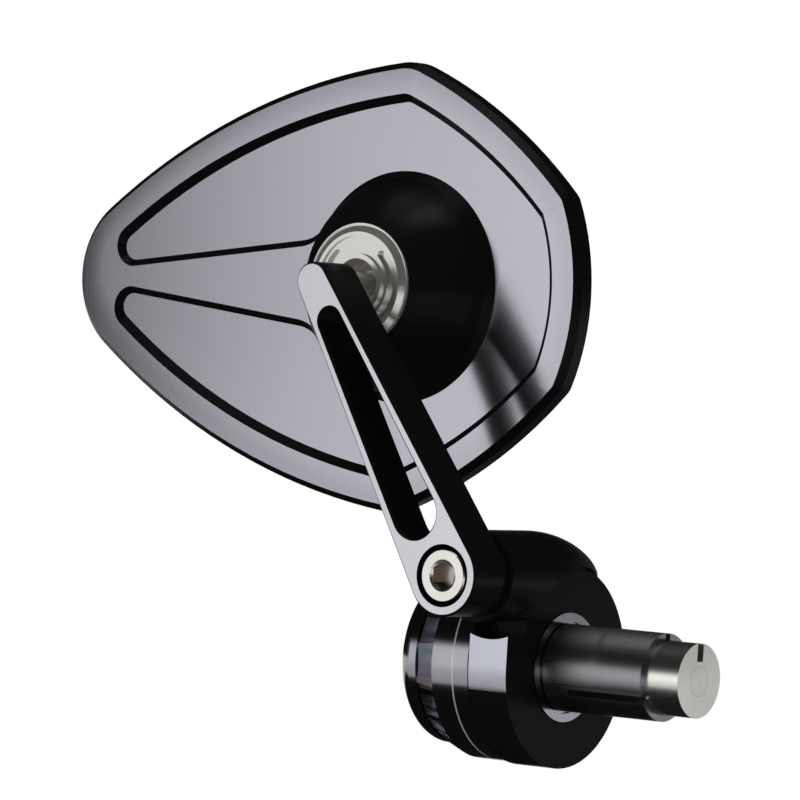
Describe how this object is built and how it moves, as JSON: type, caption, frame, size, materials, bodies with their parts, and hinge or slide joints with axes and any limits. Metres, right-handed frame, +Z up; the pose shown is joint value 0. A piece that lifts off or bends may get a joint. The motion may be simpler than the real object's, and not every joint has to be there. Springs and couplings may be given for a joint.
{
  "type": "motorcycle bar-end mirror",
  "caption": "Bar-end motorcycle mirror: shield-shaped head on a ball joint, slotted arm and turning ring on a lit bar-end unit that plugs into a handlebar tube.",
  "frame": {"origin": "on the handlebar's axis, on the shoulder that the end of the tube stops against", "axes": "+X along the handlebar into the tube, -Y the way the head's back and the arm's face point, +Z up"},
  "size_m": [0.1584, 0.0577, 0.1403],
  "materials": {
    "black_aluminium": "milled and turned, black anodised",
    "bright_trim": "bright turned",
    "bare_aluminium": "turned",
    "stainless": "turned stainless steel",
    "clear_lens": "clear, polished",
    "lamp_emitter": "resin",
    "circuit_board": "lacquered",
    "seal_rubber": "matt",
    "washer_plastic": "matt",
    "seat_plastic": "natural",
    "foam_tape": "matt foam",
    "mirror_glass": "silvered glass"
  },
  "bodies": {
    "bar_end": {"bar_end_body": "black_aluminium", "trim_ring": "bright_trim", "signal_head": "black_aluminium", "lamp_board": "circuit_board", "signal_lamps": "lamp_emitter", "lens_seal": "seal_rubber", "signal_lens": "clear_lens", "end_disc": "black_aluminium", "plug_bolt": "stainless", "plug_sleeve": "bare_aluminium", "plug_cone": "stainless"},
    "ring": {"mount_ring": "black_aluminium", "pivot_sleeve": "black_aluminium", "arm_screw": "stainless"},
    "arm": {"mirror_arm": "black_aluminium", "pivot_washer": "washer_plastic", "stud_washer": "stainless", "ball_stud": "stainless"},
    "rear_seat": {"rear_ball_seat": "seat_plastic"},
    "front_seat": {"front_ball_seat": "seat_plastic"},
    "head": {"mirror_housing": "black_aluminium", "tape_pad": "foam_tape", "mirror_glass": "mirror_glass", "joint_cap": "stainless", "pressure_pad": "seat_plastic", "disc_spring": "stainless"}
  },
  "joints": [
    {"name": "ring_swivel", "type": "hinge", "parent": "bar_end", "child": "ring", "pos_m": [-0.0049, 0, 0], "axis": [1, 0, 0], "range_deg": [-60, 60]},
    {"name": "arm_pivot", "type": "hinge", "parent": "ring", "child": "arm", "pos_m": [-0.0049, -0.032, 0.018], "axis": [0, 1, 0], "range_deg": [-25, 40]},
    {"name": "head_tilt", "type": "hinge", "parent": "arm", "child": "rear_seat", "pos_m": [-0.04164, -0.0146, 0.07415], "axis": [1, 0, 0], "range_deg": [-10, 10]},
    {"name": "head_pan", "type": "hinge", "parent": "rear_seat", "child": "front_seat", "pos_m": [-0.04164, -0.0146, 0.07415], "axis": [0, 0, 1], "range_deg": [-10, 10]},
    {"name": "head_spin", "type": "hinge", "parent": "front_seat", "child": "head", "pos_m": [-0.04164, -0.0146, 0.07415], "axis": [0, 1, 0], "range_deg": [-30, 30]}
  ]
}
